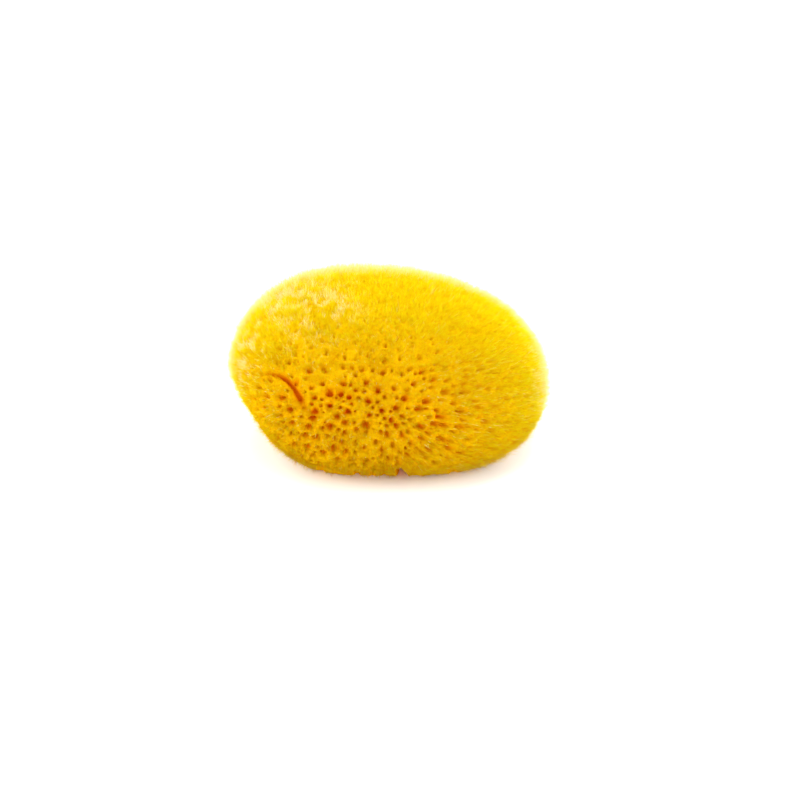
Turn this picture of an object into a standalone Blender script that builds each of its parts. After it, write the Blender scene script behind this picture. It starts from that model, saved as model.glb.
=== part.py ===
"""A small natural bath sponge, grown as one piece and cut off flat where it stood on its rock.

Metres, +Z up. The origin is the middle of the flat cut base, and +X runs along the sponge.
"""

import bmesh
import bpy
import numpy as np
from mathutils import Vector, noise

# Overall form: its middle, and half its length, depth and height before the cut
MIDDLE = (-0.0006, 0.0, 0.0226)
HALF_SIZES = (0.0460, 0.0310, 0.0277)
SQUARENESS = 2.31
EDGE_ROUNDING = 0.03

# Swellings and hollows round the outline, as seen from the front and from above the horizon:
# degrees round from the right-hand end, and how far the surface stands out there
OUTLINE_SEEN_FROM = 30.0
SWELLINGS = (
    (30, -0.0013),
    (60, -0.0012),
    (90, 0.0017),
    (120, 0.0026),
    (150, -0.0008),
    (180, 0.0002),
    (210, -0.0048),
    (240, 0.0015),
    (270, -0.0016),
    (300, 0.0012),
    (330, 0.0010),
)
SWELLING_TIGHTNESS = 9.0
MEAN_RADIUS = 0.040

# Gentle unevenness of the whole surface, and the nap of tufts on it, both fading out at the base
ROLL_SIZE, ROLL_HEIGHT = 0.0140, 0.00045
TUFT_SIZE, TUFT_HEIGHT = 0.0026, 0.00035
SMOOTH_ABOVE_BASE = 0.0040

# Everything grew outwards from a root low inside the sponge, so the pores open away from it; the
# root is a flat region between these two corners
ROOT_FROM, ROOT_TO = (-0.0240, -0.0115, 0.0070), (-0.0030, -0.0115, 0.0185)

# The pores: funnels scattered over all but the lowest stretch, at about this spacing
PORE_SPACING = 0.0037
SPACING_VARIETY = (0.88, 1.12)
PLACES_TRIED = 9000
PORE_RADIUS = (0.00065, 0.00115)
PORE_DEPTH = (0.0016, 0.0036)
PORE_VARIETY = (0.75, 1.10)
LOWEST_PORE = 0.0035

# The open face at the front: its middle, and how far from there it reaches towards -X, -Y, -Z
# and towards +X, +Y, +Z. Pores are widest within this share of its reach, and beyond it they
# have the closed share of that width
OPEN_FACE = (-0.0072, -0.0290, 0.0258)
OPEN_REACH_LOW = (0.050, 0.030, 0.044)
OPEN_REACH_HIGH = (0.060, 0.060, 0.024)
OPEN_WITHIN = 0.30
CLOSED_SHARE = 0.45

# A pit's floor and rim as shares of its radius, and how far along its axis it reaches, in radii
PIT_FLOOR, PIT_RIM, PIT_REACH = 0.15, 1.25, 4.0

# A fold near the left end, as degrees round from the right-hand end and above the middle;
# its ends are shallower, over this share of its length
FOLD_ROUTE = ((-151, 16), (-146, 18.5), (-140, 19), (-135, 16.5), (-131, 12.5), (-128.5, 8.5))
FOLD_HALF_WIDTH = 0.0009
FOLD_DEPTH = 0.0032
FOLD_END_SHARE, FOLD_END_DEPTH = 0.20, 0.25

# Small bites out of the lower edge: place along it, height above the base, radius and depth
BITES = (
    (0.0042, 0.0012, 0.0011, 0.0030),
    (-0.0088, 0.0010, 0.0009, 0.0014),
    (-0.0190, 0.0014, 0.0010, 0.0013),
    (0.0185, 0.0012, 0.0009, 0.0012),
)
BITE_LOOKS_UP_TO = 3.0

# Water canals that the cut laid open in the base, in a long ring kept clear of its middle
CANALS = 9
CANAL_RING = (0.0085, 0.0165)
CANAL_RING_LENGTHENING = 1.35
CANAL_STRAY = 0.25
CANAL_RADIUS = (0.0010, 0.0017)
CANAL_DEPTH = 0.0040

SURFACE_SUBDIVISIONS = 7
MOST_TRIANGLES = 9600
FLAT_WITHIN = 0.00004
TINY = 1e-9
SEED = 11


def clear_scene():
    for obj in list(bpy.data.objects):
        bpy.data.objects.remove(obj)


def smoothstep(low, high, values):
    share = np.clip((values - low) / (high - low), 0.0, 1.0)
    return share * share * (3 - 2 * share)


def unit(vectors):
    return vectors / np.linalg.norm(vectors, axis=-1, keepdims=True)


def direction(round_deg, above_deg):
    """Unit vector at these degrees round from +X and above the horizon."""
    turn, rise = np.radians(round_deg), np.radians(above_deg)
    return np.array([np.cos(turn) * np.cos(rise), np.sin(turn) * np.cos(rise), np.sin(rise)])


def outline_direction(degrees):
    """Unit vector towards a place on the outline that the front view shows."""
    tilt, turn = np.radians(OUTLINE_SEEN_FROM), np.radians(degrees)
    across = np.array([1.0, 0.0, 0.0])
    upwards = np.array([0.0, np.sin(tilt), np.cos(tilt)])
    return across * np.cos(turn) + upwards * np.sin(turn)


def smooth_minimum(first, second, rounding):
    blend = np.maximum(rounding - np.abs(first - second), 0.0) / rounding
    return np.minimum(first, second) - blend * blend * rounding / 4


def outer_form(directions):
    """Points of the smooth outer form, in these unit directions of a ball squashed to its sizes."""
    size = (np.abs(directions) ** SQUARENESS).sum(1) ** (-1 / SQUARENESS)
    for degrees, height in SWELLINGS:
        near = np.exp(SWELLING_TIGHTNESS * (directions @ outline_direction(degrees) - 1))
        size = size * (1 + height / MEAN_RADIUS * near)
    downwards = np.maximum(-directions[:, 2], TINY)
    to_base = MIDDLE[2] / (HALF_SIZES[2] * downwards)
    size = smooth_minimum(size, to_base, EDGE_ROUNDING)
    return np.array(MIDDLE) + directions * np.array(HALF_SIZES) * size[:, None]


def form_point(round_deg, above_deg):
    """The point of the outer form seen in a direction from its middle."""
    towards = direction(round_deg, above_deg) / np.array(HALF_SIZES)
    return outer_form(unit(towards)[None])[0]


def growth(points):
    """Unit direction in which the sponge grew at each point: straight away from its root."""
    return unit(points - np.clip(points, ROOT_FROM, ROOT_TO))


def unevenness(points, size, height):
    return np.array([noise.noise(Vector(point / size)) for point in points]) * height


def openness(points):
    """1 on the open face, where the pores are widest, falling to 0 away from it."""
    offset = points - np.array(OPEN_FACE)
    reach = np.where(offset < 0, OPEN_REACH_LOW, OPEN_REACH_HIGH)
    return 1 - smoothstep(OPEN_WITHIN, 1.0, np.linalg.norm(offset / reach, axis=1))


def pore_places(random):
    """Evenly scattered points of the outer form, none nearer to another than the pores' spacing."""
    candidates = outer_form(unit(random.normal(size=(PLACES_TRIED, 3))))
    candidates = candidates[candidates[:, 2] > LOWEST_PORE]
    places = candidates[:1]
    for point in candidates[1:]:
        spacing = PORE_SPACING * random.uniform(*SPACING_VARIETY)
        if np.linalg.norm(places - point, axis=1).min() > spacing:
            places = np.vstack([places, point])
    return places


def sink(points, centre, axis, radius, depth):
    """How far each point sinks into a round pit along its axis: a funnel with a narrow floor."""
    offset = points - centre
    along = offset @ axis
    across = np.linalg.norm(offset - along[:, None] * axis, axis=1)
    fall = 1 - smoothstep(PIT_FLOOR * radius, PIT_RIM * radius, across)
    return depth * fall * (np.abs(along) < PIT_REACH * radius)


def pore_sinks(points, random):
    """The movement that all the pores give to the surface's points."""
    places = pore_places(random)
    axes, open_share = growth(places), openness(places)
    moved = np.zeros_like(points)
    for place, axis, share in zip(places, axes, open_share):
        size = (CLOSED_SHARE + (1 - CLOSED_SHARE) * share) * random.uniform(*PORE_VARIETY)
        radius = max(PORE_RADIUS[0], PORE_RADIUS[1] * size)
        depth = max(PORE_DEPTH[0], PORE_DEPTH[1] * size)
        moved -= sink(points, place, axis, radius, depth)[:, None] * axis
    return moved


def fold_sinks(points):
    """The movement of the fold: a groove along a short route, shallow at its ends."""
    route = np.array([form_point(*place) for place in FOLD_ROUTE])
    starts, spans = route[:-1], np.diff(route, axis=0)
    share = np.einsum("pk,sk->ps", points, spans) - (starts * spans).sum(1)
    share = np.clip(share / (spans**2).sum(1), 0, 1)
    nearest = starts + share[..., None] * spans
    away = np.linalg.norm(points[:, None] - nearest, axis=2)
    stretch = away.argmin(1)
    place = (stretch + share[np.arange(len(points)), stretch]) / len(spans)
    ends = np.clip(np.minimum(place, 1 - place) / FOLD_END_SHARE, FOLD_END_DEPTH, 1)
    fall = 1 - smoothstep(PIT_FLOOR * FOLD_HALF_WIDTH, PIT_RIM * FOLD_HALF_WIDTH, away.min(1))
    return -(FOLD_DEPTH * fall * ends)[:, None] * growth(points)


def bite_sinks(points):
    """The movement of the bites out of the front's lower edge."""
    moved = np.zeros_like(points)
    axis = np.array([0.0, -1.0, 0.0])
    for along, height, radius, depth in BITES:
        beside = np.abs(points[:, 0] - along) < radius
        low = points[:, 2] < BITE_LOOKS_UP_TO * height
        centre = np.array([along, points[beside & low][:, 1].min(), height])
        moved -= sink(points, centre, axis, radius, depth)[:, None] * axis
    return moved


def canal_sinks(points, random):
    """The movement of the canals in the base, whose mouths lie in a ring round its middle."""
    moved = np.zeros_like(points)
    axis = np.array([0.0, 0.0, -1.0])
    in_base = points[:, 2] < FLAT_WITHIN
    for index in range(CANALS):
        turn = 2 * np.pi * (index + random.uniform(-CANAL_STRAY, CANAL_STRAY)) / CANALS
        reach = random.uniform(*CANAL_RING)
        centre = reach * np.array([CANAL_RING_LENGTHENING * np.cos(turn), np.sin(turn), 0.0])
        depth = sink(points, centre, axis, random.uniform(*CANAL_RADIUS), CANAL_DEPTH)
        moved -= (depth * in_base)[:, None] * axis
    return moved


def sponge_points(directions):
    """The finished surface: the outer form with its unevenness, pores, fold, bites and canals."""
    random = np.random.default_rng(SEED)
    points = outer_form(directions)
    above_base = smoothstep(0.0, SMOOTH_ABOVE_BASE, points[:, 2])
    relief = unevenness(points, ROLL_SIZE, ROLL_HEIGHT) + unevenness(points, TUFT_SIZE, TUFT_HEIGHT)
    moved = growth(points) * (relief * above_base)[:, None]
    moved += pore_sinks(points, random)
    moved += fold_sinks(points)
    moved += bite_sinks(points)
    moved += canal_sinks(points, random)
    points = points + moved
    points[:, 2] = np.maximum(points[:, 2], 0.0)
    return points


def sponge_material():
    material = bpy.data.materials.new("sponge_fibre")
    material.use_nodes = True
    shader = material.node_tree.nodes["Principled BSDF"]
    shader.inputs["Base Color"].default_value = (0.93, 0.62, 0.02, 1)
    shader.inputs["Roughness"].default_value = 0.95
    shader.inputs["Metallic"].default_value = 0.0
    return material


def full_surface():
    """The sponge's surface as one closed, finely divided mesh."""
    shape = bmesh.new()
    bmesh.ops.create_icosphere(shape, subdivisions=SURFACE_SUBDIVISIONS, radius=1.0)
    directions = unit(np.array([vertex.co for vertex in shape.verts]))
    for vertex, point in zip(shape.verts, sponge_points(directions)):
        vertex.co = point
    mesh = bpy.data.meshes.new("sponge_surface")
    shape.to_mesh(mesh)
    shape.free()
    return mesh


def with_fewer_faces(obj, triangles):
    """The object's mesh reduced to about this many triangles, which gather at its pits and folds."""
    fewer = obj.modifiers.new("fewer_faces", "DECIMATE")
    fewer.ratio = triangles / len(obj.data.polygons)
    graph = bpy.context.evaluated_depsgraph_get()
    mesh = bpy.data.meshes.new_from_object(obj.evaluated_get(graph))
    obj.modifiers.remove(fewer)
    return mesh


def build_sponge():
    sponge = bpy.data.objects.new("sponge", full_surface())
    bpy.context.scene.collection.objects.link(sponge)
    sponge.data = with_fewer_faces(sponge, MOST_TRIANGLES)
    for vertex in sponge.data.vertices:
        if vertex.co.z < FLAT_WITHIN:
            vertex.co.z = 0.0
    sponge.data.shade_smooth()
    sponge.data.materials.append(sponge_material())


clear_scene()
build_sponge()
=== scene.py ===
"""The looks of a small golden bath sponge: a pitted body under a nap of fine fibres, on a pale floor.

Metres, +Z up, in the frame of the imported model.
"""

import math

import bmesh
import bpy
import numpy as np
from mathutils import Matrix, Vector, kdtree, noise


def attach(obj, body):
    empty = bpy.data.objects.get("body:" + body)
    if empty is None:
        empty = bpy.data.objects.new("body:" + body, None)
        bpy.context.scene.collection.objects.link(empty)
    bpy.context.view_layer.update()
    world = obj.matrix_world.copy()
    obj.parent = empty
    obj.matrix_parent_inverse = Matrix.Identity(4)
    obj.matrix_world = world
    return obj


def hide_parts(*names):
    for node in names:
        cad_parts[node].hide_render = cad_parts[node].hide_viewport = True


# The outer form, as in the solid: its middle, its half sizes before the cut, and its swellings
MIDDLE = (-0.0006, 0.0, 0.0226)
HALF_SIZES = (0.0460, 0.0310, 0.0277)
SQUARENESS = 2.31
EDGE_ROUNDING = 0.03
OUTLINE_SEEN_FROM = 30.0
SWELLINGS = (
    (30, -0.0013),
    (60, -0.0012),
    (90, 0.0017),
    (120, 0.0026),
    (150, -0.0008),
    (180, 0.0002),
    (210, -0.0048),
    (240, 0.0015),
    (270, -0.0016),
    (300, 0.0012),
    (330, 0.0010),
)
SWELLING_TIGHTNESS = 9.0
MEAN_RADIUS = 0.040
ROLL_SIZE, ROLL_HEIGHT = 0.0140, 0.00045
TUFT_SIZE, TUFT_HEIGHT = 0.0026, 0.00035
SMOOTH_ABOVE_BASE = 0.0040
ROOT_FROM, ROOT_TO = (-0.0240, -0.0115, 0.0070), (-0.0030, -0.0115, 0.0185)

# The solid's pores, in the same places, and deeper here by up to this much on the open face
PORE_SPACING = 0.0037
SPACING_VARIETY = (0.88, 1.12)
PLACES_TRIED = 9000
PORE_RADIUS = (0.00065, 0.00115)
PORE_DEPTH = (0.0016, 0.0036)
PORE_VARIETY = (0.75, 1.10)
LOWEST_PORE = 0.0035
SOLID_SEED = 11
DEEPER = 0.0006

# The open face: its middle, and how far it reaches towards -X, -Y, -Z and towards +X, +Y, +Z
OPEN_FACE = (-0.0072, -0.0290, 0.0258)
OPEN_REACH_LOW = (0.050, 0.030, 0.044)
OPEN_REACH_HIGH = (0.060, 0.060, 0.024)
OPEN_WITHIN = 0.30
CLOSED_SHARE = 0.45

# Small pores between the solid's own, from the closed sides to the open face
SMALL_TRIED = 16000
SMALL_SPACING = 0.0022
SMALL_FROM_PORES = 0.0019
SMALL_RADIUS = (0.00045, 0.00070)
SMALL_DEPTH = (0.0008, 0.0026)
SMALL_VARIETY = (0.65, 1.20)

# Wide pores of the open face, as degrees round from +X, degrees above the middle, radius, depth
WIDE_PORES = (
    (-118.2, 17.1, 0.0017, 0.0042),
    (-113.0, 18.0, 0.0011, 0.0060),
    (-117.4, -0.8, 0.0018, 0.0028),
    (-110.3, 2.1, 0.0014, 0.0024),
    (-100.0, 0.9, 0.0020, 0.0030),
    (-123.7, 6.8, 0.0017, 0.0036),
    (-124.5, 3.0, 0.0012, 0.0040),
    (-67.7, 14.1, 0.0013, 0.0040),
    (-61.2, 5.0, 0.0013, 0.0040),
    (-63.5, 1.0, 0.0014, 0.0036),
    (-71.7, 10.9, 0.0012, 0.0044),
    (-83.8, 1.0, 0.0013, 0.0032),
    (-135.0, 5.1, 0.0013, 0.0030),
)

# A pit: its floor as a share of its radius, the core and the shallow bowl round it, and how far
# along its axis it reaches, in radii
PIT_FLOOR, PIT_CORE, PIT_BOWL, PIT_REACH = 0.10, 0.77, 1.90, 4.0
BOWL_SHARE = 0.33
# Low down a pit is smaller by this share
LOW_PITS, LOW_PITS_BELOW = 0.74, (0.004, 0.016)
PIT_UNEVEN_SIZE, PIT_UNEVEN = 0.0012, 0.45

# The streams: away from this place on the front the fibres lean outwards along the surface and
# the pores are drawn out, the more so towards +X
STREAMS_FROM = (-0.0030, -0.0296, 0.0315)
STREAM_GROWS = (0.005, 0.034)
STREAM_SIDE, STREAM_SIDE_GROWS = 0.30, (-0.004, 0.020)
STREAM_ENDS_ABOVE, STREAM_LEFT_ABOVE = (0.034, 0.046), 0.3
STREAM_ENDS_BEHIND, STREAM_LEFT_BEHIND = (-0.006, 0.016), 0.2
STREAM_LEAN, STREAM_DRAWING = 1.10, 2.0

# The fold, whose half width and depth grow from its first end to its last, and which darkens the
# body as painted shade in the groove by this share of its depth
FOLD_ROUTE = ((-151, 16), (-146, 18.5), (-140, 19), (-135, 16.5), (-131, 12.5), (-128.5, 8.5))
FOLD_HALF_WIDTH = (0.0006, 0.0022)
FOLD_DEPTH, FOLD_PAINTED_SHADE = 0.0036, 1.1
FOLD_END_SHARE, FOLD_END_DEPTH = 0.20, 0.35
FOLD_LOOKED_FOR = 0.025

# Small bites out of the lower edge: place along it, height above the base, radius and depth; the
# first two are one notch that leans towards -X as it rises
BITES = (
    (0.0035, 0.0036, 0.0010, 0.0060),
    (0.0041, 0.0014, 0.0012, 0.0060),
    (-0.0088, 0.0018, 0.0009, 0.0025),
    (-0.0190, 0.0022, 0.0011, 0.0022),
    (-0.0150, 0.0018, 0.0006, 0.0014),
    (-0.0045, 0.0016, 0.0006, 0.0014),
    (-0.0012, 0.0012, 0.0006, 0.0016),
    (0.0080, 0.0018, 0.0006, 0.0012),
    (0.0185, 0.0020, 0.0010, 0.0020),
)
# A bite is this much higher than wide, its side falls between these shares of its radius, it fades
# out this many depths behind the edge, and it takes this much of a pit's painted shade, as shade
# inside the notch
BITE_HEIGHTENING, BITE_SIDE, BITE_FADES, BITE_PAINTED_SHADE = 2.2, (0.6, 1.4), 3.0, 0.5

# Water canals laid open in the base, as in the solid, and fine pores between them
CANALS = 9
CANAL_RING = (0.0085, 0.0165)
CANAL_RING_LENGTHENING = 1.35
CANAL_STRAY = 0.25
CANAL_RADIUS = (0.0010, 0.0017)
CANAL_DEPTH = 0.0040
BASE_REACH = (0.034, 0.021)
BASE_PORES_TRIED = 3000
BASE_PORE_SPACING = 0.0021
BASE_PORE_RADIUS = (0.0003, 0.0006)
BASE_PORE_DEPTH = 0.0015

# The body's walls end this far below the outer form, on closed sides and on the open face
NAP_DEPTH = (0.0015, 0.0010)
BALL_SUBDIVISIONS = 9
BODY_TRIANGLES = 196000
CELL = 0.003
FLAT_WITHIN = 0.00004

# The fibres are a nap and, longer, finer and brighter, a fringe. For each: its pieces; how far a
# tip stands out of the outer form, as least, most likely and most; what the crest adds to that; how
# near to a pit's middle a tip may stand, as least and most shares of the pit's core; its least and
# most radius at the root; its shade from 0, dull, to 1, pale, on closed sides and on the open face;
# and how much a fibre is shaded as the surface it stands on, in the same two places
FIBRES_A_PIECE = 49000
NAP = {
    "name": "nap_fibres",
    "pieces": 3,
    "reach": (-0.0009, -0.0001, 0.0006),
    "on_crest": -0.0008,
    "clears": (0.20, 1.00),
    "radius": (0.00006, 0.00011),
    "shade": (0.54, 0.51),
    "as_surface": (0.90, 0.40),
}
FRINGE = {
    "name": "fringe_fibres",
    "pieces": 1,
    "reach": (0.0000, 0.0010, 0.0028),
    "on_crest": 0.0006,
    "clears": (0.05, 0.90),
    "radius": (0.00003, 0.00006),
    "shade": (0.60, 0.56),
    "as_surface": (0.50, 0.25),
}
# Within so many radii of a pit of the open face the fringe leans in over it, by shares of its way
# between the least and the most
FRINGE_LEANS_IN, FRINGE_LEANS_WITHIN = (0.2, 1.3), 2.4
FIBRE_TAPER = 0.6
SHORTEST_FIBRE = 0.0003
# How much fibres stray one by one and lean together, on closed sides and on the open face
FIBRE_STRAY = (0.55, 0.50)
LEAN_SIZE, LEAN = 0.0050, (0.30, 0.35)
# On the open face tips stand out less by this share, and in a pit they sink by this share of it
OPEN_SHORTENING, PIT_FOLLOWED = 0.4, 0.85
# No fibre is rooted lower than this, and each tip is at least as high as a draw from the next two
LOWEST_ROOT, LOWEST_TIP = 0.0004, (0.0001, 0.0007)
# From the first depth in a pit only this share of fibres is rooted, and from the last one none
ROOTS_FEWER, ROOTS_END, ROOTS_LEFT = 0.0004, 0.0026, 0.50
NO_ROOTS_IN_BITE = 0.0001

# Tufts: how far apart they are, as drawn between the least and the most share of the spacing
CLUMP_SPACING, CLUMP_VARIETY = 0.0008, (0.8, 1.2)
CLUMPS_TRIED = 70000
# How far fibres are drawn to a tuft's middle, on closed sides and on the open face, and the least
# and the most share of that for one fibre; how much less along a stream; how far tufts are drawn out
CLUMP_PULL, CLUMP_PULL_VARIETY = (0.35, 0.80), (0.4, 1.2)
CLUMP_FREE_ALONG, CLUMP_DRAWING = 0.7, 0.6
# How tufts and single fibres differ in reach and shade; pairs are for closed sides and open face
CLUMP_REACH = 0.00025
CLUMP_SHADE = (0.06, 0.11)
FIBRE_SHADE = (0.07, 0.20)
TUFT_SHADE = 0.10
LEAST_SHADE, MOST_SHADE = 0.02, 0.98
# Away from a tuft's middle its fibres are shorter and duller, the dullness a painted shade in
# the gaps between tufts, on closed sides and on the open face: by these values at this distance,
# and by no more than at so many times it
EDGE_DROP, EDGE_PAINTED_SHADE = (0.0002, 0.0006), (0.08, 0.30)
EDGE_AT, EDGE_ENDS = 0.0006, 1.5
# Low down tufts are as rough as at this share of the way from closed to open, and duller, a
# painted shade on the dim lower part
ROUGH_LOW, ROUGH_BELOW, LOW_PAINTED_SHADE = 0.80, (0.008, 0.022), 0.18
# The nap's waves stand out least towards +X and most towards -X
WAVE_SIZE, WAVE_REACH, WAVES_BETWEEN = 0.0044, (0.0006, 0.0012), (-0.030, 0.000)
# Fibres are duller near a pit, a painted shade round its mouth, from the last to the first of
# these shares of its radius, and more so from the first to the last of these shares of openness
PIT_RIM, PIT_RIM_PAINTED_SHADE, PIT_RIM_OPEN = (0.5, 1.4), 0.24, (0.05, 0.6)
# Fibres rooted between these depths in a pit are duller by this much, painted shade inside it
IN_PIT_DEPTHS, IN_PIT_PAINTED_SHADE = (0.0005, 0.0018), 0.35
# The part of a pit's core that tips leave clear grows this many times as fast as the openness
CLEARED_SOONER = 2.5

# Where fibres are paler: the first stretch is pale patches of fuzz on the upper left, and the
# others are painted rim light along the left edge, the top behind it and the right edge; for each
# its middle, its size, how pale it is, and how patchy
PALE_PATCHES_AND_RIM_LIGHT = (
    ((-0.0204, -0.0089, 0.0480), 0.011, 0.48, 1.0),
    ((-0.0403, -0.0110, 0.0350), 0.010, 0.48, 1.0),
    ((-0.0300, 0.0060, 0.0430), 0.013, 0.48, 0.9),
    ((0.0460, -0.0040, 0.0230), 0.012, 0.55, 0.3),
)
PALE_PATCH_SIZE, PALE_PATCH_EDGE = 0.0026, (-0.15, 0.25)
# The crest between front and back, as far as its fibres face forwards and backwards: it is
# paler, a painted rim light where backlit fuzz would glow along the outline, and its nap is
# shorter and its fringe longer and closer
CREST_FORWARDS, CREST_BACKWARDS, CREST_ABOVE = (0.05, 0.46), (0.05, 0.90), (0.010, 0.024)
CREST_PAINTED_RIM_LIGHT, CREST_PATCHY, PATCHY_BEYOND, CREST_CROWDING = 0.80, 0.95, (-0.06, 0.18), 2.5
# Behind the crest it is less pale by this share, its painted rim light fading, and all fibres are
# duller, a painted shade on the dimly lit back
CREST_FADES, PAINTED_SHADE_BEHIND, FULLY_BEHIND = 0.80, 0.08, 0.5

# Colours along a fibre from root to tip, darker and more orange towards the root as painted
# shade deep in the nap, for dull, bright and pale fibres, where pale stands for pale fuzz and
# for painted rim light, and the body's colour into a pit; a fibre is fully bright at the first
# shade, and pale from the next to the last
BRIGHT_AT, PALE_BETWEEN = 0.56, (0.68, 1.05)
DULL_FIBRE = (
    (0.0, (0.74, 0.23, 0.001)),
    (0.40, (0.81, 0.37, 0.001)),
    (0.80, (0.87, 0.49, 0.002)),
    (1.0, (0.89, 0.56, 0.003)),
)
BRIGHT_FIBRE = (
    (0.0, (0.82, 0.42, 0.001)),
    (0.40, (0.86, 0.65, 0.002)),
    (0.80, (0.88, 0.77, 0.003)),
    (1.0, (0.89, 0.81, 0.005)),
)
PALE_AND_RIM_LIT_FIBRE = (
    (0.0, (0.90, 0.60, 0.05)),
    (0.30, (0.94, 0.76, 0.21)),
    (0.60, (0.97, 0.81, 0.41)),
    (1.0, (0.98, 0.87, 0.62)),
)
# The body's own colour, then a painted shade, darker and more orange deeper into a pore, the fold or
# a bite
BODY_WITH_PAINTED_PIT_SHADE = (
    (0.0, (0.87, 0.58, 0.002)),
    (0.25, (0.90, 0.51, 0.001)),
    (0.60, (0.87, 0.36, 0.001)),
    (1.0, (0.78, 0.22, 0.002)),
)
# Low down the pits take less of their painted shade
DULL_PITS, DULL_BELOW = 0.38, (0.003, 0.014)
DEEPEST_COLOUR_AT = 0.0032
FIBRE_TRANSLUCENCE, BODY_TRANSLUCENCE, MATT = 0.40, 0.50, 0.95
SHEEN, SHEEN_ROUGHNESS, SHEEN_TINT = 0.6, 0.20, (1.0, 0.88, 0.40, 1.0)

# The camera at the photograph's angle: what it looks at, how high, how far, its lens, and how near
# it still sees
TARGET = (0.00248, -0.0039, 0.01707)
ELEVATION = 30.0
DISTANCE = 0.538
LENS = 85.0
CLIP_START = 0.01

FLOOR_SIZE, FLOOR_COLOUR, FLOOR_ROUGHNESS = 3.0, (0.90, 0.90, 0.90, 1.0), 0.9

# The lights: their size, and for each its name, place and power
LIGHT_SIZE = 0.6
LIGHTS = (
    ("overhead", (0.05, 0.10, 0.75), 4.7),
    ("front", (0.0, -0.79, 0.14), 1.3),
    ("right", (0.75, -0.20, 0.40), 5.0),
    ("left", (-0.75, -0.20, 0.40), 5.9),
    ("back_right", (0.60, 0.60, 0.35), 4.0),
    ("back_left", (-0.60, 0.60, 0.35), 4.0),
)

# A fibre's place in its map: half its width, its margin above and below, and how far the face at
# its root is drawn up so that it has an area there
UV_HALF_WIDTH, UV_MARGIN, UV_ROOT_SKEW = 0.01, 0.03, 0.05
# A fibre that points up or down by more than this has its sides laid out from +X, not from +Z
UPRIGHT = 0.9
TINY = 1e-9
# What every random draw starts from, and the noise by which fibres lean together
SEED = 5
FRONT = np.array([0.0, -math.cos(math.radians(ELEVATION)), math.sin(math.radians(ELEVATION))])

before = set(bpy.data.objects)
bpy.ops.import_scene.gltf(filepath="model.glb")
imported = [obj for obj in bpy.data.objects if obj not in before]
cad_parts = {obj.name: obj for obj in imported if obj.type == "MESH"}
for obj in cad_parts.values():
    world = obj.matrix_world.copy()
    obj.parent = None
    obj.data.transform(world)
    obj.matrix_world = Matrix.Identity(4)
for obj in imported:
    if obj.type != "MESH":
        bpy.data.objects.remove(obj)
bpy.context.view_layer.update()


def smoothstep(low, high, values):
    share = np.clip((values - low) / (high - low), 0.0, 1.0)
    return share * share * (3 - 2 * share)


def between(pair, share):
    return pair[0] + (pair[1] - pair[0]) * share


def unit(vectors):
    return vectors / np.maximum(np.linalg.norm(vectors, axis=-1, keepdims=True), TINY)


def dot(first, second):
    return (first * second).sum(-1, keepdims=True)


def direction(round_deg, above_deg):
    """Unit vector at these degrees round from +X and above the horizon."""
    turn, rise = np.radians(round_deg), np.radians(above_deg)
    return np.array([np.cos(turn) * np.cos(rise), np.sin(turn) * np.cos(rise), np.sin(rise)])


def outline_direction(degrees):
    """Unit vector towards a place on the outline that the front view shows."""
    tilt, turn = np.radians(OUTLINE_SEEN_FROM), np.radians(degrees)
    across = np.array([1.0, 0.0, 0.0])
    upwards = np.array([0.0, np.sin(tilt), np.cos(tilt)])
    return across * np.cos(turn) + upwards * np.sin(turn)


def smooth_minimum(first, second, rounding):
    blend = np.maximum(rounding - np.abs(first - second), 0.0) / rounding
    return np.minimum(first, second) - blend * blend * rounding / 4


def outer_form(directions):
    """Points of the smooth outer form, in these unit directions of a ball squashed to its sizes."""
    size = (np.abs(directions) ** SQUARENESS).sum(1) ** (-1 / SQUARENESS)
    for degrees, height in SWELLINGS:
        near = np.exp(SWELLING_TIGHTNESS * (directions @ outline_direction(degrees) - 1))
        size = size * (1 + height / MEAN_RADIUS * near)
    downwards = np.maximum(-directions[:, 2], TINY)
    to_base = MIDDLE[2] / (HALF_SIZES[2] * downwards)
    size = smooth_minimum(size, to_base, EDGE_ROUNDING)
    return np.array(MIDDLE) + directions * np.array(HALF_SIZES) * size[:, None]


def form_point(round_deg, above_deg):
    """The point of the outer form seen in a direction from its middle."""
    towards = direction(round_deg, above_deg) / np.array(HALF_SIZES)
    return outer_form(unit(towards)[None])[0]


def form_normals(points):
    """The way out of the outer form at each point, without its swellings."""
    scaled = (points - np.array(MIDDLE)) / np.array(HALF_SIZES)
    slope = np.sign(scaled) * np.abs(scaled) ** (SQUARENESS - 1) / np.array(HALF_SIZES)
    return unit(slope)


def growth(points):
    """Unit direction in which the sponge grew at each point: straight away from its root."""
    return unit(points - np.clip(points, ROOT_FROM, ROOT_TO))


def pit_axes(points):
    """The way out of a pit: as the sponge grew, or straight down out of the base."""
    return np.where(points[:, 2:] > FLAT_WITHIN, growth(points), (0.0, 0.0, -1.0))


def streams(points):
    """Unit directions in which the surface's fibres stream, and how strongly they do there."""
    away = points - np.array(STREAMS_FROM)
    normals = form_normals(points)
    along = unit(away - dot(away, normals) * normals)
    strength = smoothstep(*STREAM_GROWS, np.linalg.norm(away, axis=1))
    side = between((STREAM_SIDE, 1.0), smoothstep(*STREAM_SIDE_GROWS, away[:, 0]))
    lower = between((1.0, STREAM_LEFT_ABOVE), smoothstep(*STREAM_ENDS_ABOVE, points[:, 2]))
    before = between((1.0, STREAM_LEFT_BEHIND), smoothstep(*STREAM_ENDS_BEHIND, points[:, 1]))
    return along, strength * side * lower * before


def unevenness(points, size):
    scaled = points / size
    return np.array([noise.noise(Vector(point)) for point in scaled])


def lean(points, size):
    scaled = points / size
    return np.array([noise.noise_vector(Vector(point)) for point in scaled])


def openness(points):
    """1 on the open face, where the pores are widest, falling to 0 away from it."""
    offset = points - np.array(OPEN_FACE)
    reach = np.where(offset < 0, OPEN_REACH_LOW, OPEN_REACH_HIGH)
    return 1 - smoothstep(OPEN_WITHIN, 1.0, np.linalg.norm(offset / reach, axis=1))


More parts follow.
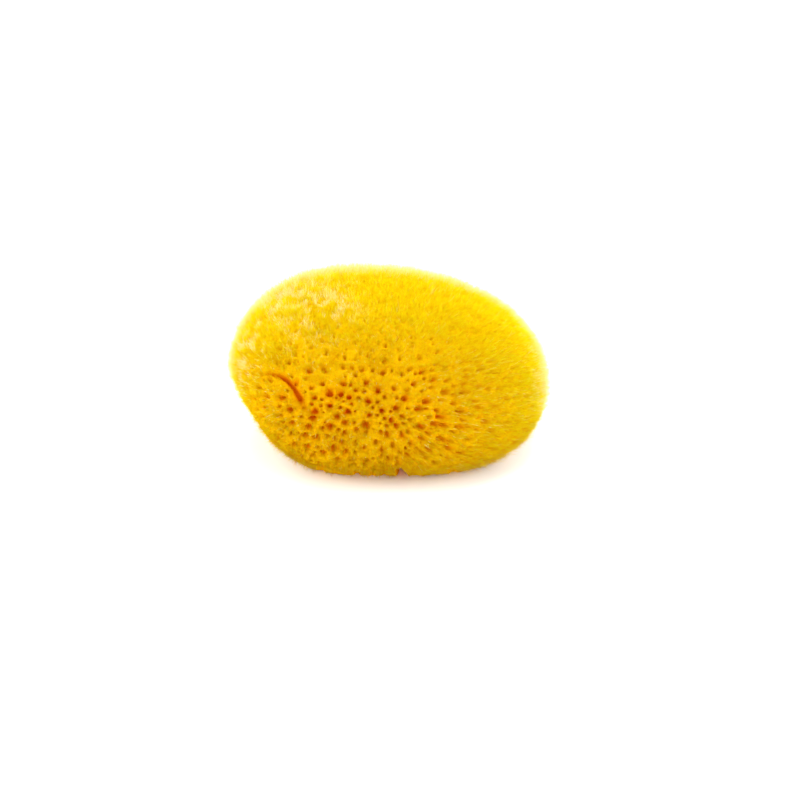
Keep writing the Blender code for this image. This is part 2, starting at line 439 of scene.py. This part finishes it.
class Nearby:
    """Finds the points near a place quickly, by sorting them into cubes."""

    def __init__(self, points, cell=CELL):
        self.cell = cell
        keys = np.floor(points / cell).astype(np.int64)
        order = np.lexsort(keys.T)
        breaks = np.flatnonzero(np.any(np.diff(keys[order], axis=0), axis=1)) + 1
        self.cubes = {tuple(keys[group[0]]): group for group in np.split(order, breaks)}

    def around(self, place, reach):
        low = np.floor((place - reach) / self.cell).astype(int)
        high = np.floor((place + reach) / self.cell).astype(int)
        cubes = [
            self.cubes[(x, y, z)]
            for x in range(low[0], high[0] + 1)
            for y in range(low[1], high[1] + 1)
            for z in range(low[2], high[2] + 1)
            if (x, y, z) in self.cubes
        ]
        return np.concatenate(cubes) if cubes else np.zeros(0, int)


class Finder:
    """The nearest of a set of places to each point."""

    def __init__(self, places):
        self.tree = kdtree.KDTree(len(places))
        for index, place in enumerate(places):
            self.tree.insert(place, index)
        self.tree.balance()

    def nearest(self, points):
        return np.array([self.tree.find(point)[1] for point in points])


def scattered(candidates, spacing, random, variety=(1.0, 1.0)):
    """Those candidates that lie no nearer to an earlier one than about the spacing."""
    cell = spacing * variety[1]
    cubes, kept = {}, []
    steps = [(x, y, z) for x in (-1, 0, 1) for y in (-1, 0, 1) for z in (-1, 0, 1)]
    for point in candidates:
        apart = (spacing * random.uniform(*variety)) ** 2
        key = tuple(np.floor(point / cell).astype(int).tolist())
        near = [
            other
            for step in steps
            for other in cubes.get((key[0] + step[0], key[1] + step[1], key[2] + step[2]), ())
        ]
        if all(((other - point) ** 2).sum() > apart for other in near):
            cubes.setdefault(key, []).append(point)
            kept.append(point)
    return np.array(kept)


def solid_pits():
    """Places, radii and depths of the solid's own pores, and of the canals in its base."""
    random = np.random.default_rng(SOLID_SEED)
    candidates = outer_form(unit(random.normal(size=(PLACES_TRIED, 3))))
    candidates = candidates[candidates[:, 2] > LOWEST_PORE]
    places = candidates[:1]
    for point in candidates[1:]:
        spacing = PORE_SPACING * random.uniform(*SPACING_VARIETY)
        if np.linalg.norm(places - point, axis=1).min() > spacing:
            places = np.vstack([places, point])
    share = openness(places)
    size = between((CLOSED_SHARE, 1.0), share) * random.uniform(*PORE_VARIETY, len(places))
    radii = np.maximum(PORE_RADIUS[0], PORE_RADIUS[1] * size)
    depths = np.maximum(PORE_DEPTH[0], PORE_DEPTH[1] * size) + DEEPER * share
    canals = []
    for index in range(CANALS):
        turn = 2 * np.pi * (index + random.uniform(-CANAL_STRAY, CANAL_STRAY)) / CANALS
        reach = random.uniform(*CANAL_RING)
        across, along = CANAL_RING_LENGTHENING * reach * np.cos(turn), reach * np.sin(turn)
        canals.append((across, along, 0.0, random.uniform(*CANAL_RADIUS), CANAL_DEPTH))
    return np.vstack([np.column_stack([places, radii, depths]), canals])


def small_pits(solid, random):
    """Places, radii and depths of the small pores that lie between the solid's own."""
    candidates = outer_form(unit(random.normal(size=(SMALL_TRIED, 3))))
    candidates = candidates[candidates[:, 2] > FLAT_WITHIN]
    places = scattered(candidates, SMALL_SPACING, random, SPACING_VARIETY)
    apart = np.linalg.norm(places[:, None] - solid[:, :3], axis=2).min(1)
    places = places[apart > SMALL_FROM_PORES]
    share, variety = openness(places), random.uniform(*SMALL_VARIETY, len(places))
    radii = between(SMALL_RADIUS, share) * variety
    return np.column_stack([places, radii, between(SMALL_DEPTH, share) * variety])


def base_pits(solid, random):
    """Places, radii and depths of the fine pores in the base."""
    tried = random.uniform(-1, 1, (BASE_PORES_TRIED, 2))
    tried = tried[(tried**2).sum(1) < 1] * BASE_REACH
    candidates = np.column_stack([tried, np.zeros(len(tried))])
    places = scattered(candidates, BASE_PORE_SPACING, random, SPACING_VARIETY)
    apart = np.linalg.norm(places[:, None] - solid[:, :3], axis=2).min(1)
    places = places[apart > SMALL_FROM_PORES]
    radii = random.uniform(*BASE_PORE_RADIUS, len(places))
    return np.column_stack([places, radii, np.full(len(places), BASE_PORE_DEPTH)])


def all_pits(random):
    solid = solid_pits()
    wide = [(*form_point(turn, rise), radius, depth) for turn, rise, radius, depth in WIDE_PORES]
    pits = np.vstack([solid, wide, small_pits(solid, random)])
    size = between((LOW_PITS, 1.0), smoothstep(*LOW_PITS_BELOW, pits[:, 2]))
    size[pits[:, 2] < FLAT_WITHIN] = 1.0
    pits[:, 3:] *= size[:, None]
    return np.vstack([pits, base_pits(solid, random)])


def pit_offsets(points, centre, axis, stream, drawing):
    """How far each point lies along a pit's axis, and across it with its drawn-out side shrunk."""
    offset = points - centre
    along = offset @ axis
    across = offset - along[:, None] * axis
    streaming = across @ stream
    across = across - (streaming * (1 - 1 / drawing))[:, None] * stream
    return along, across


def pit_fall(share):
    """How deep a pit is at each share of its radius: a core in a shallow bowl."""
    core = 1 - smoothstep(PIT_FLOOR, PIT_CORE, share)
    bowl = 1 - smoothstep(PIT_FLOOR, PIT_BOWL, share)
    return between((core, bowl), BOWL_SHARE)


def pit_depth(points, pits):
    """How far each point sinks into the pits."""
    sunk = np.zeros(len(points))
    nearby = Nearby(points)
    uneven = 1 + PIT_UNEVEN * unevenness(points, PIT_UNEVEN_SIZE)
    axes = pit_axes(pits[:, :3])
    along_surface, strength = streams(pits[:, :3])
    for pit, axis, stream, strong in zip(pits, axes, along_surface, strength):
        radius, drawing = pit[3], 1 + STREAM_DRAWING * strong
        chosen = nearby.around(pit[:3], PIT_BOWL * radius * drawing)
        along, across = pit_offsets(points[chosen], pit[:3], axis, stream, drawing)
        fall = pit_fall(np.linalg.norm(across, axis=1) * uneven[chosen] / radius)
        into = pit[4] * fall * (np.abs(along) < PIT_REACH * radius)
        sunk[chosen] = np.maximum(sunk[chosen], into)
    return sunk


def fold_depth(points):
    """How far each point sinks into the fold: a groove along a short route."""
    route = np.array([form_point(*place) for place in FOLD_ROUTE])
    starts, spans = route[:-1], np.diff(route, axis=0)
    near = np.flatnonzero(np.linalg.norm(points - route.mean(0), axis=1) < FOLD_LOOKED_FOR)
    chosen = points[near]
    share = np.einsum("pk,sk->ps", chosen, spans) - (starts * spans).sum(1)
    share = np.clip(share / (spans**2).sum(1), 0, 1)
    nearest = starts + share[..., None] * spans
    away = np.linalg.norm(chosen[:, None] - nearest, axis=2)
    stretch = away.argmin(1)
    place = (stretch + share[np.arange(len(chosen)), stretch]) / len(spans)
    ends = np.clip(np.minimum(place, 1 - place) / FOLD_END_SHARE, FOLD_END_DEPTH, 1)
    sunk = np.zeros(len(points))
    sunk[near] = FOLD_DEPTH * ends * pit_fall(away.min(1) / between(FOLD_HALF_WIDTH, place))
    return sunk


def bite_moves(points):
    """The movement of the bites out of the front's lower edge."""
    moved = np.zeros_like(points)
    axis, upwards = np.array([0.0, -1.0, 0.0]), np.array([0.0, 0.0, 1.0])
    for along_edge, height, radius, depth in BITES:
        beside = np.abs(points[:, 0] - along_edge) < radius
        level = np.abs(points[:, 2] - height) < radius
        centre = np.array([along_edge, points[beside & level][:, 1].min(), height])
        along, across = pit_offsets(points, centre, axis, upwards, BITE_HEIGHTENING)
        fall = 1 - smoothstep(*BITE_SIDE, np.linalg.norm(across, axis=1) / radius)
        fall *= np.clip(1 + along / (BITE_FADES * depth), 0.0, 1.0)
        moved[:, 1] = np.maximum(moved[:, 1], depth * fall)
    return moved


def body_surface(pits):
    """The pitted body as a mesh; its points keep their depths in pits and below the outer form."""
    shape = bmesh.new()
    bmesh.ops.create_icosphere(shape, subdivisions=BALL_SUBDIVISIONS, radius=1.0)
    mesh = bpy.data.meshes.new("sponge_body")
    shape.to_mesh(mesh)
    shape.free()
    co = np.zeros(len(mesh.vertices) * 3)
    mesh.vertices.foreach_get("co", co)
    form = outer_form(unit(co.reshape(-1, 3)))
    above = smoothstep(0.0, SMOOTH_ABOVE_BASE, form[:, 2])
    relief = unevenness(form, ROLL_SIZE) * ROLL_HEIGHT + unevenness(form, TUFT_SIZE) * TUFT_HEIGHT
    pores, fold = pit_depth(form, pits), fold_depth(form)
    below = (between(NAP_DEPTH, openness(form)) - relief) * above + np.maximum(pores, fold)
    bitten = bite_moves(form)
    # How much painted pit shade each point takes: pores, less so low down, the fold and the bites;
    # the same value thins and shortens the fibres rooted there
    dull = between((DULL_PITS, 1.0), smoothstep(*DULL_BELOW, form[:, 2]))
    pit = np.maximum(np.maximum(dull * pores, FOLD_PAINTED_SHADE * fold), BITE_PAINTED_SHADE * bitten[:, 1])
    points = form - pit_axes(form) * below[:, None] + bitten
    points[:, 2] = np.maximum(points[:, 2], 0.0)
    mesh.vertices.foreach_set("co", points.ravel())
    kept = {"pit": pit, "below": below, "bitten": bitten[:, 1]}
    for name, values in kept.items():
        mesh.attributes.new(name, "FLOAT", "POINT").data.foreach_set("value", values)
    return mesh


def with_fewer_faces(mesh, triangles):
    obj = bpy.data.objects.new(mesh.name, mesh)
    bpy.context.scene.collection.objects.link(obj)
    fewer = obj.modifiers.new("fewer_faces", "DECIMATE")
    fewer.ratio = triangles / len(mesh.polygons)
    graph = bpy.context.evaluated_depsgraph_get()
    obj.data = bpy.data.meshes.new_from_object(obj.evaluated_get(graph))
    obj.modifiers.clear()
    return obj


class BodySamples:
    """Random places on the body where a fibre can be rooted."""

    def __init__(self, mesh):
        co = np.zeros(len(mesh.vertices) * 3)
        mesh.vertices.foreach_get("co", co)
        self.points = co.reshape(-1, 3)
        corners = np.zeros(len(mesh.loops), np.int32)
        mesh.loops.foreach_get("vertex_index", corners)
        self.corners = corners.reshape(-1, 3)
        self.pit, self.below, bitten = (
            self.values(mesh, name) for name in ("pit", "below", "bitten")
        )
        first, second, third = (self.points[self.corners[:, index]] for index in range(3))
        area = np.linalg.norm(np.cross(second - first, third - first), axis=1)
        pit = self.pit[self.corners].mean(1)
        wanted = between((1.0, ROOTS_LEFT), smoothstep(0.0, ROOTS_FEWER, pit))
        wanted *= 1 - smoothstep(ROOTS_FEWER, ROOTS_END, pit)
        wanted *= self.points[self.corners][:, :, 2].max(1) > LOWEST_ROOT
        wanted *= bitten[self.corners].max(1) < NO_ROOTS_IN_BITE
        crowded = 1 + CREST_CROWDING * crest(self.points[self.corners[:, 0]])
        self.chances = [
            area * share / (area * share).sum() for share in (wanted, wanted * crowded)
        ]

    @staticmethod
    def values(mesh, name):
        values = np.zeros(len(mesh.vertices))
        mesh.attributes[name].data.foreach_get("value", values)
        return values

    def take(self, count, random, crowded):
        """Points, and how deep each is in a pit and below the outer form."""
        chosen = random.choice(len(self.corners), count, p=self.chances[crowded])
        chosen = self.corners[chosen]
        shares = random.dirichlet((1, 1, 1), count)
        points = (self.points[chosen] * shares[..., None]).sum(1)
        return points, (self.pit[chosen] * shares).sum(1), (self.below[chosen] * shares).sum(1)


def fibre_mesh(name, paths, radii, shades, as_surface, random):
    """Closed three-sided fibres as one mesh, each through its path's points to a sharp tip."""
    count, stops = paths.shape[:2]
    along = unit(paths[:, -1] - paths[:, 0])
    helper = np.where(np.abs(along[:, 2:]) < UPRIGHT, (0.0, 0.0, 1.0), (1.0, 0.0, 0.0))
    side = unit(np.cross(along, helper))[:, None]
    other = np.cross(along, side[:, 0])[:, None]
    turn = (random.uniform(0, 2 * np.pi, (count, 1)) + 2 * np.pi * np.arange(3) / 3)[..., None]
    outwards = (np.cos(turn) * side + np.sin(turn) * other)[:, None]
    rings = stops - 1
    taper = 1 - FIBRE_TAPER * np.arange(rings) / stops
    thickness = (radii[:, None] * taper)[..., None, None]
    corners = paths[:, :-1, None] + thickness * outwards
    corners = np.concatenate([corners.reshape(count, -1, 3), paths[:, -1:]], axis=1)
    normals = form_normals(paths[:, 0])
    share = between(as_surface, openness(paths[:, 0]))[:, None, None, None]
    facing = share * normals[:, None, None] + (1 - share) * outwards
    facing = np.repeat(facing, rings, axis=1).reshape(count, -1, 3)
    facing = unit(np.concatenate([facing, normals[:, None]], axis=1))

    pattern = [(2, 1, 0)]
    for ring in range(rings - 1):
        for corner in range(3):
            low, next_low = 3 * ring + corner, 3 * ring + (corner + 1) % 3
            pattern += [(low, next_low, next_low + 3), (low, next_low + 3, low + 3)]
    last, tip = 3 * (rings - 1), 3 * rings
    pattern += [(last + corner, last + (corner + 1) % 3, tip) for corner in range(3)]
    pattern = np.array(pattern)
    faces = (np.arange(count)[:, None, None] * (tip + 1) + pattern).reshape(-1, 3)

    mesh = bpy.data.meshes.new(name)
    mesh.vertices.add(count * (tip + 1))
    mesh.vertices.foreach_set("co", corners.ravel())
    mesh.loops.add(faces.size)
    mesh.loops.foreach_set("vertex_index", faces.ravel().astype(np.int32))
    mesh.polygons.add(len(faces))
    mesh.polygons.foreach_set("loop_start", np.arange(0, faces.size, 3, dtype=np.int32))
    mesh.update(calc_edges=True)
    mesh.shade_smooth()
    mesh.normals_split_custom_set_from_vertices(facing.reshape(-1, 3))

    sideways = np.append(np.tile((-1.0, 1.0, 0.0), rings), 0.0)[pattern]
    height = np.append(np.repeat(np.arange(rings) / rings, 3), 1.0)[pattern]
    height[0, 2] = UV_ROOT_SKEW
    u = shades[:, None, None] + UV_HALF_WIDTH * sideways
    v = np.broadcast_to(UV_MARGIN + (1 - 2 * UV_MARGIN) * height, u.shape)
    layer = mesh.uv_layers.new(name="OFBake")
    layer.uv.foreach_set("vector", np.stack([u, v], -1).ravel().astype(np.float32))
    return mesh


def crest(points):
    """1 along the crest between front and back, falling to 0 quickly in front, slowly behind."""
    facing = form_normals(points) @ FRONT
    beyond = smoothstep(*CREST_FORWARDS, facing) + smoothstep(*CREST_BACKWARDS, -facing)
    return (1 - beyond) * smoothstep(*CREST_ABOVE, points[:, 2])


def behind(points):
    """0 as far back as the crest, rising to 1 on the back."""
    return smoothstep(0.0, FULLY_BEHIND, -form_normals(points) @ FRONT)


def pale_patches_and_painted_rim(points):
    """How much paler the fibres at each point are: pale patches of fuzz, and painted rim light along
    the edges and the crest.
    """
    patches = smoothstep(*PALE_PATCH_EDGE, unevenness(points, PALE_PATCH_SIZE))
    pale = np.zeros(len(points))
    for middle, size, share, patchy in PALE_PATCHES_AND_RIM_LIGHT:
        away = np.linalg.norm(points - np.array(middle), axis=1)
        near = share * np.exp(-((away / size) ** 2))
        pale = np.maximum(pale, near * between((1.0, patches), patchy))
    # Painted rim light along the crest, weaker and patchy behind it
    on_crest = CREST_PAINTED_RIM_LIGHT * (1 - CREST_FADES * behind(points)) * crest(points)
    patchy = CREST_PATCHY * smoothstep(*PATCHY_BEYOND, -form_normals(points) @ FRONT)
    return np.maximum(pale, on_crest * between((1.0, patches), patchy))


class Fibres:
    """The fibres that stand on the body, gathered into small tufts and kept out of the pores."""

    def __init__(self, body, pits, random):
        self.random = random
        self.samples = BodySamples(body)
        self.pits = pits
        self.pit_finder = Finder(pits[:, :3])
        candidates = outer_form(unit(random.normal(size=(CLUMPS_TRIED, 3))))
        self.clumps = scattered(candidates, CLUMP_SPACING, random, CLUMP_VARIETY)
        self.clump_finder = Finder(self.drawn_in(self.clumps))
        self.clump_reach = random.normal(0, CLUMP_REACH, len(self.clumps))
        self.clump_shade = random.normal(0, 1, len(self.clumps))

    @staticmethod
    def drawn_in(points):
        """Points moved so that places along a stream lie nearer together than across it."""
        away = points - np.array(STREAMS_FROM)
        far = np.linalg.norm(away, axis=1, keepdims=True)
        strength = streams(points)[1][:, None]
        return away * (far / STREAM_GROWS[1]) ** (-CLUMP_DRAWING * strength)

    def grow(self, count, look):
        """Roots, tips and shades of this many fibres of the nap or the fringe."""
        random = self.random
        roots, pit, below = self.samples.take(count, random, look is FRINGE)
        grown, open_share = growth(roots), openness(roots)
        stream, strength = streams(roots)
        above = roots + grown * below[:, None]
        clump = self.clump_finder.nearest(self.drawn_in(above))
        edge = np.linalg.norm(above - self.clumps[clump], axis=1) / EDGE_AT
        edge = np.minimum(edge, EDGE_ENDS) ** 2
        waves = between(WAVE_REACH, 1 - smoothstep(*WAVES_BETWEEN, roots[:, 0]))
        out = random.triangular(*look["reach"], count) + unevenness(roots, WAVE_SIZE) * waves
        out = out + self.clump_reach[clump] + look["on_crest"] * crest(roots)
        out *= 1 - OPEN_SHORTENING * open_share
        low = ROUGH_LOW * (1 - smoothstep(*ROUGH_BELOW, roots[:, 2]))
        rough = np.maximum(open_share, low)
        out -= between(EDGE_DROP, rough) * edge
        length = np.maximum(below - PIT_FOLLOWED * pit + out, SHORTEST_FIBRE)
        strayed = random.normal(0, 1, (count, 3)) * between(FIBRE_STRAY, open_share)[:, None]
        swayed = lean(roots, LEAN_SIZE) * between(LEAN, open_share)[:, None]
        leaning = (STREAM_LEAN * strength)[:, None]
        towards = unit(grown + strayed + swayed + leaning * stream)
        length *= np.sqrt(1 + leaning[:, 0] ** 2)
        tips = roots + towards * length[:, None]
        tips = self.gathered(tips, clump, out, open_share, stream, strength)
        tips, near_pit = self.out_of_pits(tips, open_share, look)
        tips = self.out_of_bites(tips)
        tips[:, 2] = np.maximum(tips[:, 2], random.uniform(*LOWEST_TIP, count))
        shades = random.normal(between(look["shade"], open_share), between(FIBRE_SHADE, rough))
        shades += self.clump_shade[clump] * between(CLUMP_SHADE, rough)
        shades += unevenness(roots, TUFT_SIZE) * TUFT_SHADE
        # Painted shade: duller in the gaps between tufts and low down
        shades -= between(EDGE_PAINTED_SHADE, rough) * edge + LOW_PAINTED_SHADE * low
        # Painted shade round the pits and inside them
        shades -= PIT_RIM_PAINTED_SHADE * near_pit * smoothstep(*PIT_RIM_OPEN, open_share)
        shades -= IN_PIT_PAINTED_SHADE * smoothstep(*IN_PIT_DEPTHS, pit)
        # Paler in the pale patches and under the painted rim light, and duller on the back as painted
        # shade
        shades += pale_patches_and_painted_rim(roots) - PAINTED_SHADE_BEHIND * behind(roots)
        return roots, tips, np.clip(shades, LEAST_SHADE, MOST_SHADE)

    def gathered(self, tips, clump, out, open_share, stream, strength):
        """Tips drawn towards the middles of their tufts, mostly across the stream."""
        middles = self.clumps[clump]
        missing = middles + growth(middles) * out[:, None] - tips
        along = dot(missing, stream) * stream
        variety = self.random.uniform(*CLUMP_PULL_VARIETY, len(tips))
        pull = between(CLUMP_PULL, open_share) * variety
        missing -= along * (CLUMP_FREE_ALONG * strength)[:, None]
        return tips + missing * pull[:, None]

    @staticmethod
    def out_of_bites(tips):
        """Tips moved sideways out of the bites of the front's lower edge."""
        front = tips[:, 1] < MIDDLE[1]
        for along_edge, height, radius, _ in BITES:
            beside = tips[:, 0] - along_edge
            level = np.abs(tips[:, 2] - height) < BITE_HEIGHTENING * radius
            inside = front & level & (np.abs(beside) < radius)
            tips[inside, 0] = along_edge + np.sign(beside[inside]) * radius
        return tips

    def out_of_pits(self, tips, open_share, look):
        """Tips moved out of the cores of the open face's pits, and how near each is to one."""
        pits = self.pits[self.pit_finder.nearest(tips)]
        axis = pit_axes(pits[:, :3])
        offset = tips - pits[:, :3]
        across = offset - dot(offset, axis) * axis
        away, radius = np.linalg.norm(across, axis=1), pits[:, 3]
        mouth = PIT_CORE * radius * np.minimum(CLEARED_SOONER * open_share, 1.0)
        push = np.maximum(mouth * self.random.uniform(*look["clears"], len(tips)) - away, 0.0)
        near = 1 - smoothstep(*PIT_RIM, away / radius)
        if look is FRINGE:
            leaning = open_share * (away < FRINGE_LEANS_WITHIN * radius) * (away > radius)
            push -= leaning * self.random.uniform(*FRINGE_LEANS_IN, len(tips)) * (away - radius)
        return tips + unit(across) * push[:, None], near


def node_ramp(tree, factor, stops):
    made = tree.nodes.new("ShaderNodeValToRGB")
    elements = made.color_ramp.elements
    elements[0].position, elements[0].color = stops[0][0], (*stops[0][1], 1)
    elements[1].position, elements[1].color = stops[-1][0], (*stops[-1][1], 1)
    for position, colour in stops[1:-1]:
        elements.new(position).color = (*colour, 1)
    tree.links.new(factor, made.inputs["Fac"])
    return made.outputs["Color"]


def map_range(tree, value, low, high):
    made = tree.nodes.new("ShaderNodeMapRange")
    made.inputs["From Min"].default_value = low
    made.inputs["From Max"].default_value = high
    tree.links.new(value, made.inputs["Value"])
    return made.outputs["Result"]


def mixed(tree, factor, first, second):
    made = tree.nodes.new("ShaderNodeMix")
    made.data_type = "RGBA"
    tree.links.new(factor, made.inputs["Factor"])
    tree.links.new(first, made.inputs[6])
    tree.links.new(second, made.inputs[7])
    return made.outputs[2]


def soft_shader(material, colour, translucence, sheen):
    """A matt shader that lets some light through, both parts in the same colour."""
    tree = material.node_tree
    shader = tree.nodes["Principled BSDF"]
    shader.inputs["Roughness"].default_value = MATT
    shader.inputs["Specular IOR Level"].default_value = 0.0
    shader.inputs["Sheen Weight"].default_value = sheen
    shader.inputs["Sheen Roughness"].default_value = SHEEN_ROUGHNESS
    shader.inputs["Sheen Tint"].default_value = SHEEN_TINT
    tree.links.new(colour, shader.inputs["Base Color"])
    through = tree.nodes.new("ShaderNodeBsdfTranslucent")
    tree.links.new(colour, through.inputs["Color"])
    mix = tree.nodes.new("ShaderNodeMixShader")
    mix.inputs["Fac"].default_value = translucence
    tree.links.new(shader.outputs["BSDF"], mix.inputs[1])
    tree.links.new(through.outputs["BSDF"], mix.inputs[2])
    tree.links.new(mix.outputs["Shader"], tree.nodes["Material Output"].inputs["Surface"])


def fibre_material():
    material = bpy.data.materials.new("sponge_fibres")
    material.use_nodes = True
    tree = material.node_tree
    place = tree.nodes.new("ShaderNodeUVMap")
    place.uv_map = "OFBake"
    parts = tree.nodes.new("ShaderNodeSeparateXYZ")
    tree.links.new(place.outputs["UV"], parts.inputs["Vector"])
    shade, height = parts.outputs["X"], parts.outputs["Y"]
    # Darker towards the root as painted shade; pale for pale fuzz and painted rim light
    dull, bright, pale = (
        node_ramp(tree, height, stops) for stops in (DULL_FIBRE, BRIGHT_FIBRE, PALE_AND_RIM_LIT_FIBRE)
    )
    colour = mixed(tree, map_range(tree, shade, 0.0, BRIGHT_AT), dull, bright)
    colour = mixed(tree, map_range(tree, shade, *PALE_BETWEEN), colour, pale)
    soft_shader(material, colour, FIBRE_TRANSLUCENCE, SHEEN)
    return material


def body_material():
    material = bpy.data.materials.new("sponge_body")
    material.use_nodes = True
    tree = material.node_tree
    pit = tree.nodes.new("ShaderNodeAttribute")
    pit.attribute_name = "pit"
    # The body darkens into the pits as painted shade
    depth = map_range(tree, pit.outputs["Fac"], 0.0, DEEPEST_COLOUR_AT)
    soft_shader(material, node_ramp(tree, depth, BODY_WITH_PAINTED_PIT_SHADE), BODY_TRANSLUCENCE, 0.0)
    return material


def add_piece(name, mesh, material):
    mesh.materials.append(material)
    piece = bpy.data.objects.new(name, mesh)
    bpy.context.scene.collection.objects.link(piece)
    return piece


def build_sponge():
    noise.seed_set(SEED)
    random = np.random.default_rng(SEED)
    pits = all_pits(random)
    body = with_fewer_faces(body_surface(pits), BODY_TRIANGLES)
    body.data.materials.append(body_material())
    body.data.shade_smooth()
    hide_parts("sponge")
    pieces = [body]
    fibres = Fibres(body.data, pits, random)
    material = fibre_material()
    looks = [NAP] * NAP["pieces"] + [FRINGE] * FRINGE["pieces"]
    for index, look in enumerate(looks):
        roots, tips, shades = fibres.grow(FIBRES_A_PIECE, look)
        radii = random.uniform(*look["radius"], FIBRES_A_PIECE)
        name = f"{look['name']}_{index + 1}"
        paths = np.stack([roots, tips], axis=1)
        mesh = fibre_mesh(name, paths, radii, shades, look["as_surface"], random)
        pieces.append(add_piece(name, mesh, material))
    for piece in pieces:
        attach(piece, "root")


def floor():
    size = FLOOR_SIZE
    corners = [(-size, -size, 0), (size, -size, 0), (size, size, 0), (-size, size, 0)]
    mesh = bpy.data.meshes.new("floor")
    mesh.from_pydata(corners, [], [(0, 1, 2, 3)])
    material = bpy.data.materials.new("floor")
    material.use_nodes = True
    shader = material.node_tree.nodes["Principled BSDF"]
    shader.inputs["Base Color"].default_value = FLOOR_COLOUR
    shader.inputs["Roughness"].default_value = FLOOR_ROUGHNESS
    add_piece("floor", mesh, material)


def camera():
    data = bpy.data.cameras.new("camera")
    data.lens = LENS
    data.clip_start = CLIP_START
    obj = bpy.data.objects.new("camera", data)
    away = Vector(FRONT)
    obj.location = Vector(TARGET) + away * DISTANCE
    obj.rotation_euler = away.to_track_quat("Z", "Y").to_euler()
    bpy.context.scene.collection.objects.link(obj)
    bpy.context.scene.camera = obj


def area_light(name, place, power):
    data = bpy.data.lights.new(name, "AREA")
    data.shape = "DISK"
    data.size = LIGHT_SIZE
    data.energy = power
    obj = bpy.data.objects.new(name, data)
    obj.location = place
    obj.rotation_euler = Vector(place).to_track_quat("Z", "Y").to_euler()
    bpy.context.scene.collection.objects.link(obj)


def lights():
    world = bpy.data.worlds.new("world")
    world.use_nodes = True
    background = world.node_tree.nodes["Background"]
    background.inputs["Color"].default_value = (1, 1, 1, 1)
    background.inputs["Strength"].default_value = 1.0
    bpy.context.scene.world = world
    for name, place, power in LIGHTS:
        area_light(name, place, power)
    bpy.context.scene.view_settings.view_transform = "Standard"


camera()
lights()
floor()
build_sponge()
